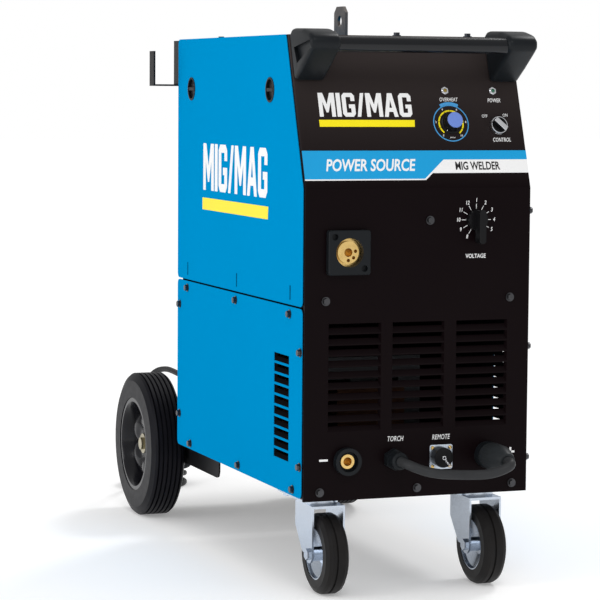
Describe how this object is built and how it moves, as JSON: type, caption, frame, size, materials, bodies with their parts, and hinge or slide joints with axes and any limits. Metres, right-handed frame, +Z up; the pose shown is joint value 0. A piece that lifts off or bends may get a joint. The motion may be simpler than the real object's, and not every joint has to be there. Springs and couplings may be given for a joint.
{
  "type": "welding machine on wheels",
  "caption": "Compact MIG welding machine in a wheeled sheet-metal cabinet with front casters, rear wheels, bottle tray, grab bar and a wire bay behind a side door.",
  "frame": {"origin": "on the floor, at the middle of the machine's footprint without its mains lead", "axes": "+Z up, the control face looks towards -Y, the wire door is on the -X side"},
  "size_m": [0.464, 1.3009, 0.91],
  "materials": {
    "blue_paint": "semi-gloss powder coat",
    "black_panel": "satin powder coat",
    "galvanised_steel": "galvanised",
    "zinc_plate": "bright zinc plate",
    "zinc_rim": "pressed and zinc plated",
    "rubber": "matt rubber",
    "wheel_plastic": "moulded",
    "moulded_black": "fine moulded texture",
    "handle_black": "gloss paint",
    "brass": "machined",
    "bare_steel": "bare",
    "black_screw": "blackened",
    "chrome": "polished",
    "lamp_lens": "clear tinted",
    "cable_jacket": "matt rubber",
    "board_green": "lacquered board",
    "copper_winding": "enamelled copper",
    "heat_sink": "extruded",
    "spool_grey": "wound copper-coated wire on a plastic reel"
  },
  "bodies": {
    "cabinet": {"base_pan": "galvanised_steel", "bottle_tray": "black_panel", "brass_contacts": "brass", "cable_glands": "moulded_black", "cable_hooks": "black_panel", "caster_plates": "zinc_plate", "control_board": "board_green", "euro_socket_flange": "moulded_black", "fan_housing": "black_panel", "feed_motor": "zinc_plate", "front_panel": "black_panel", "gas_valve": "zinc_plate", "handle_bar": "handle_black", "handle_end_caps": "moulded_black", "hex_screws": "black_screw", "lead_plug": "moulded_black", "led_bezels": "chrome", "led_lenses": "lamp_lens", "left_lower_panel": "blue_paint", "lifting_eye": "bare_steel", "mains_coil": "cable_jacket", "mains_cord": "cable_jacket", "mains_plug": "cable_jacket", "mid_shelf": "galvanised_steel", "output_socket_shells": "moulded_black", "rear_axle": "galvanised_steel", "rear_panel": "black_panel", "rectifier": "heat_sink", "remote_socket": "zinc_plate", "right_lower_panel": "blue_paint", "right_upper_panel": "blue_paint", "side_rails": "black_panel", "spool_hub": "spool_grey", "tap_switch_body": "moulded_black", "top_cover": "blue_paint", "torch_lead": "cable_jacket", "transformer_coils": "copper_winding", "transformer_core": "galvanised_steel"},
    "caster_left": {"caster_fork_left": "zinc_plate"},
    "caster_right": {"caster_fork_right": "zinc_plate"},
    "caster_wheel_left": {"caster_rim_left": "zinc_rim", "caster_tyre_left": "rubber"},
    "caster_wheel_right": {"caster_rim_right": "zinc_rim", "caster_tyre_right": "rubber"},
    "rear_wheel_left": {"rear_rim_left": "wheel_plastic", "rear_tyre_left": "rubber"},
    "rear_wheel_right": {"rear_rim_right": "wheel_plastic", "rear_tyre_right": "rubber"},
    "door": {"wire_door": "blue_paint"},
    "latch_front": {"door_latch_front": "moulded_black"},
    "latch_rear": {"door_latch_rear": "moulded_black"},
    "wire_speed": {"wire_speed_knob": "moulded_black"},
    "control": {"control_knob": "moulded_black"},
    "tap_switch": {"tap_switch_knob": "moulded_black"},
    "dust_cap": {"remote_cap": "moulded_black"},
    "fan": {"fan_blades": "moulded_black"},
    "spool": {"wire_spool": "spool_grey"},
    "drive": {"drive_roll": "bare_steel"},
    "press_arm": {"pressure_arm": "heat_sink"},
    "press_roll": {"pressure_roll": "bare_steel"}
  },
  "joints": [
    {"name": "caster_swivel_left", "type": "hinge", "parent": "cabinet", "child": "caster_left", "pos_m": [-0.1317, -0.378, 0.14], "axis": [0, 0, 1], "continuous": true},
    {"name": "caster_swivel_right", "type": "hinge", "parent": "cabinet", "child": "caster_right", "pos_m": [0.1317, -0.378, 0.14], "axis": [0, 0, 1], "continuous": true},
    {"name": "caster_roll_left", "type": "hinge", "parent": "caster_left", "child": "caster_wheel_left", "pos_m": [-0.1317, -0.409, 0.0625], "axis": [1, 0, 0], "continuous": true},
    {"name": "caster_roll_right", "type": "hinge", "parent": "caster_right", "child": "caster_wheel_right", "pos_m": [0.1317, -0.409, 0.0625], "axis": [1, 0, 0], "continuous": true},
    {"name": "rear_wheel_turn_left", "type": "hinge", "parent": "cabinet", "child": "rear_wheel_left", "pos_m": [-0.18125, 0.363, 0.129], "axis": [1, 0, 0], "continuous": true},
    {"name": "rear_wheel_turn_right", "type": "hinge", "parent": "cabinet", "child": "rear_wheel_right", "pos_m": [0.18125, 0.363, 0.129], "axis": [1, 0, 0], "continuous": true},
    {"name": "door_hinge", "type": "hinge", "parent": "cabinet", "child": "door", "pos_m": [-0.1815, -0.141, 0.452], "axis": [0, -1, 0], "range_deg": [0, 90]},
    {"name": "latch_front_turn", "type": "hinge", "parent": "door", "child": "latch_front", "pos_m": [-0.18, -0.301, 0.7735], "axis": [1, 0, 0], "range_deg": [0, 90]},
    {"name": "latch_rear_turn", "type": "hinge", "parent": "door", "child": "latch_rear", "pos_m": [-0.18, 0.097, 0.7735], "axis": [1, 0, 0], "range_deg": [0, 90]},
    {"name": "wire_speed_turn", "type": "hinge", "parent": "cabinet", "child": "wire_speed", "pos_m": [0.0647, -0.4231, 0.72432], "axis": [0, -0.9454, 0.326], "range_deg": [-270, 0]},
    {"name": "control_turn", "type": "hinge", "parent": "cabinet", "child": "control", "pos_m": [0.1427, -0.42473, 0.71959], "axis": [0, -0.9454, 0.326], "range_deg": [-90, 0]},
    {"name": "tap_switch_turn", "type": "hinge", "parent": "cabinet", "child": "tap_switch", "pos_m": [0.094, -0.457, 0.577], "axis": [0, -1, 0], "range_deg": [-330, 0]},
    {"name": "dust_cap_turn", "type": "hinge", "parent": "cabinet", "child": "dust_cap", "pos_m": [0.039, -0.462, 0.212], "axis": [0, -1, 0], "range_deg": [0, 90]},
    {"name": "fan_turn", "type": "hinge", "parent": "cabinet", "child": "fan", "pos_m": [0.07, 0.133, 0.31], "axis": [0, 1, 0], "continuous": true},
    {"name": "spool_turn", "type": "hinge", "parent": "cabinet", "child": "spool", "pos_m": [-0.1, -0.027, 0.655], "axis": [1, 0, 0], "continuous": true},
    {"name": "drive_roll_turn", "type": "hinge", "parent": "cabinet", "child": "drive", "pos_m": [-0.118, -0.267, 0.5144], "axis": [1, 0, 0], "continuous": true},
    {"name": "pressure_arm_lift", "type": "hinge", "parent": "cabinet", "child": "press_arm", "pos_m": [-0.108, -0.215, 0.5456], "axis": [1, 0, 0], "range_deg": [-40, 0]},
    {"name": "pressure_roll_turn", "type": "hinge", "parent": "press_arm", "child": "press_roll", "pos_m": [-0.118, -0.267, 0.5456], "axis": [1, 0, 0], "continuous": true}
  ],
  "couplings": [
    {"joint": "pressure_roll_turn", "follows": "drive_roll_turn", "ratio": -1}
  ]
}
